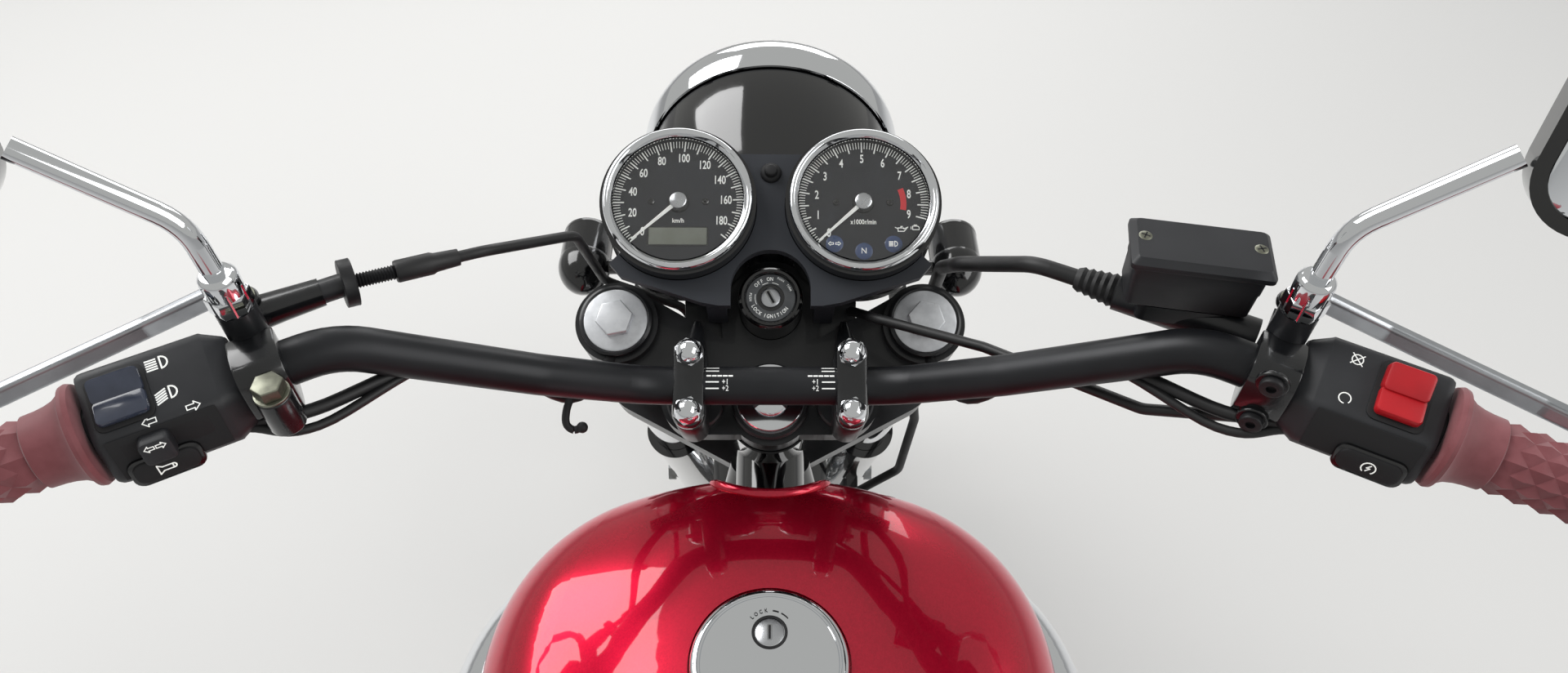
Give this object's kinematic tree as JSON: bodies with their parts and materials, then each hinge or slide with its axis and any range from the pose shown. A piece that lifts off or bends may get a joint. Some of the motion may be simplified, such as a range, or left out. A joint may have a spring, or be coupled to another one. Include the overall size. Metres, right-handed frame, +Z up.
{
  "type": "cafe racer motorcycle",
  "caption": "Cafe racer motorcycle on its centre stand, with round gauges, wire-spoked wheels, turning wheels and bars, folding stands and a lift-off fuel cap.",
  "frame": {"origin": "on the ground, under the middle of the whole box", "axes": "+Y forward, +X to the rider's right, +Z up"},
  "size_m": [0.86, 2.113, 1.2957],
  "materials": {
    "main_frame": "gloss black enamel",
    "fuel_tank": "candy red over silver, clear coat",
    "tank_panels": "chrome plate",
    "seat": "black upholstery",
    "seat_cowl": "candy red, clear coat",
    "side_covers": "satin black",
    "rear_mudguard": "gloss black",
    "tail_lamp": "red lens",
    "rear_indicators": "black with amber lens",
    "crankcase": "satin black",
    "engine_covers": "polished",
    "cylinders": "black with bare fin edges",
    "carburettors": "die cast",
    "exhausts": "chrome plate",
    "swingarm": "gloss black enamel",
    "rear_axle": "zinc plated",
    "rear_shocks": "chrome springs",
    "drive_chain": "oiled steel",
    "foot_controls": "satin",
    "top_clamp": "satin black casting",
    "lower_clamp": "satin black casting",
    "fork_tubes": "hard chrome",
    "fork_sliders": "gloss black",
    "fork_caps": "silver anodised",
    "front_axle": "zinc plated",
    "handlebar": "matt black",
    "bar_clamps": "black with chrome nuts",
    "grips": "brown red rubber",
    "switch_housings": "dark grey moulding",
    "control_perches": "satin black",
    "levers": "satin silver",
    "brake_reservoir": "black",
    "mirror_stems": "chrome plate",
    "mirror_heads": "black",
    "gauge_cups": "gloss black",
    "gauge_bezels": "chrome plate",
    "gauge_glasses": "clear",
    "gauge_panel": "dark grey",
    "ignition_lock": "black with steel barrel",
    "headlamp_shell": "gloss black",
    "headlamp_rim": "chrome plate",
    "headlamp_lens": "clear",
    "headlamp_ears": "gloss black",
    "front_indicators": "black with amber lens",
    "front_mudguard": "gloss black",
    "front_caliper": "black",
    "brake_hose": "black",
    "control_cables": "black",
    "front_tyre": "black rubber",
    "front_rim": "chrome plate",
    "front_hub": "polished, steel spokes",
    "front_disc": "ground steel",
    "rear_tyre": "black rubber",
    "rear_rim": "chrome plate",
    "rear_hub": "polished, steel spokes",
    "rear_sprocket": "zinc plated",
    "centre_stand": "black enamel",
    "side_stand": "black enamel",
    "fuel_cap": "chrome plate"
  },
  "bodies": {
    "chassis": {"main_frame": "main_frame", "fuel_tank": "fuel_tank", "tank_panels": "tank_panels", "seat": "seat", "seat_cowl": "seat_cowl", "side_covers": "side_covers", "rear_mudguard": "rear_mudguard", "tail_lamp": "tail_lamp", "rear_indicators": "rear_indicators", "crankcase": "crankcase", "engine_covers": "engine_covers", "cylinders": "cylinders", "carburettors": "carburettors", "exhausts": "exhausts", "swingarm": "swingarm", "rear_axle": "rear_axle", "rear_shocks": "rear_shocks", "drive_chain": "drive_chain", "foot_controls": "foot_controls"},
    "steering": {"top_clamp": "top_clamp", "lower_clamp": "lower_clamp", "fork_tubes": "fork_tubes", "fork_sliders": "fork_sliders", "fork_caps": "fork_caps", "front_axle": "front_axle", "handlebar": "handlebar", "bar_clamps": "bar_clamps", "grips": "grips", "switch_housings": "switch_housings", "control_perches": "control_perches", "levers": "levers", "brake_reservoir": "brake_reservoir", "mirror_stems": "mirror_stems", "mirror_heads": "mirror_heads", "gauge_cups": "gauge_cups", "gauge_bezels": "gauge_bezels", "gauge_glasses": "gauge_glasses", "gauge_panel": "gauge_panel", "ignition_lock": "ignition_lock", "headlamp_shell": "headlamp_shell", "headlamp_rim": "headlamp_rim", "headlamp_lens": "headlamp_lens", "headlamp_ears": "headlamp_ears", "front_indicators": "front_indicators", "front_mudguard": "front_mudguard", "front_caliper": "front_caliper", "brake_hose": "brake_hose", "control_cables": "control_cables"},
    "front_wheel": {"front_tyre": "front_tyre", "front_rim": "front_rim", "front_hub": "front_hub", "front_disc": "front_disc"},
    "rear_wheel": {"rear_tyre": "rear_tyre", "rear_rim": "rear_rim", "rear_hub": "rear_hub", "rear_sprocket": "rear_sprocket"},
    "centre_stand": {"centre_stand": "centre_stand"},
    "side_stand": {"side_stand": "side_stand"},
    "fuel_cap": {"fuel_cap": "fuel_cap"}
  },
  "joints": [
    {"name": "steering_turn", "type": "hinge", "parent": "chassis", "child": "steering", "pos_m": [0, 0.69345, 0.2958], "axis": [0, -0.454, 0.891], "range_deg": [-30, 30]},
    {"name": "front_wheel_spin", "type": "hinge", "parent": "steering", "child": "front_wheel", "pos_m": [0, 0.738, 0.3185], "axis": [-1, 0, 0], "continuous": true},
    {"name": "rear_wheel_spin", "type": "hinge", "parent": "chassis", "child": "rear_wheel", "pos_m": [0, -0.692, 0.3395], "axis": [-1, 0, 0], "continuous": true},
    {"name": "centre_stand_fold", "type": "hinge", "parent": "chassis", "child": "centre_stand", "pos_m": [0, -0.205, 0.24], "axis": [-1, 0, 0], "range_deg": [0, 82]},
    {"name": "side_stand_swing", "type": "hinge", "parent": "chassis", "child": "side_stand", "pos_m": [-0.135, 0.012, 0.194], "axis": [0.9361, 0, -0.3518], "range_deg": [0, 95]},
    {"name": "fuel_cap_lift", "type": "slide", "parent": "chassis", "child": "fuel_cap", "axis": [0, 0, 1], "range_m": [0, 0.06]}
  ]
}
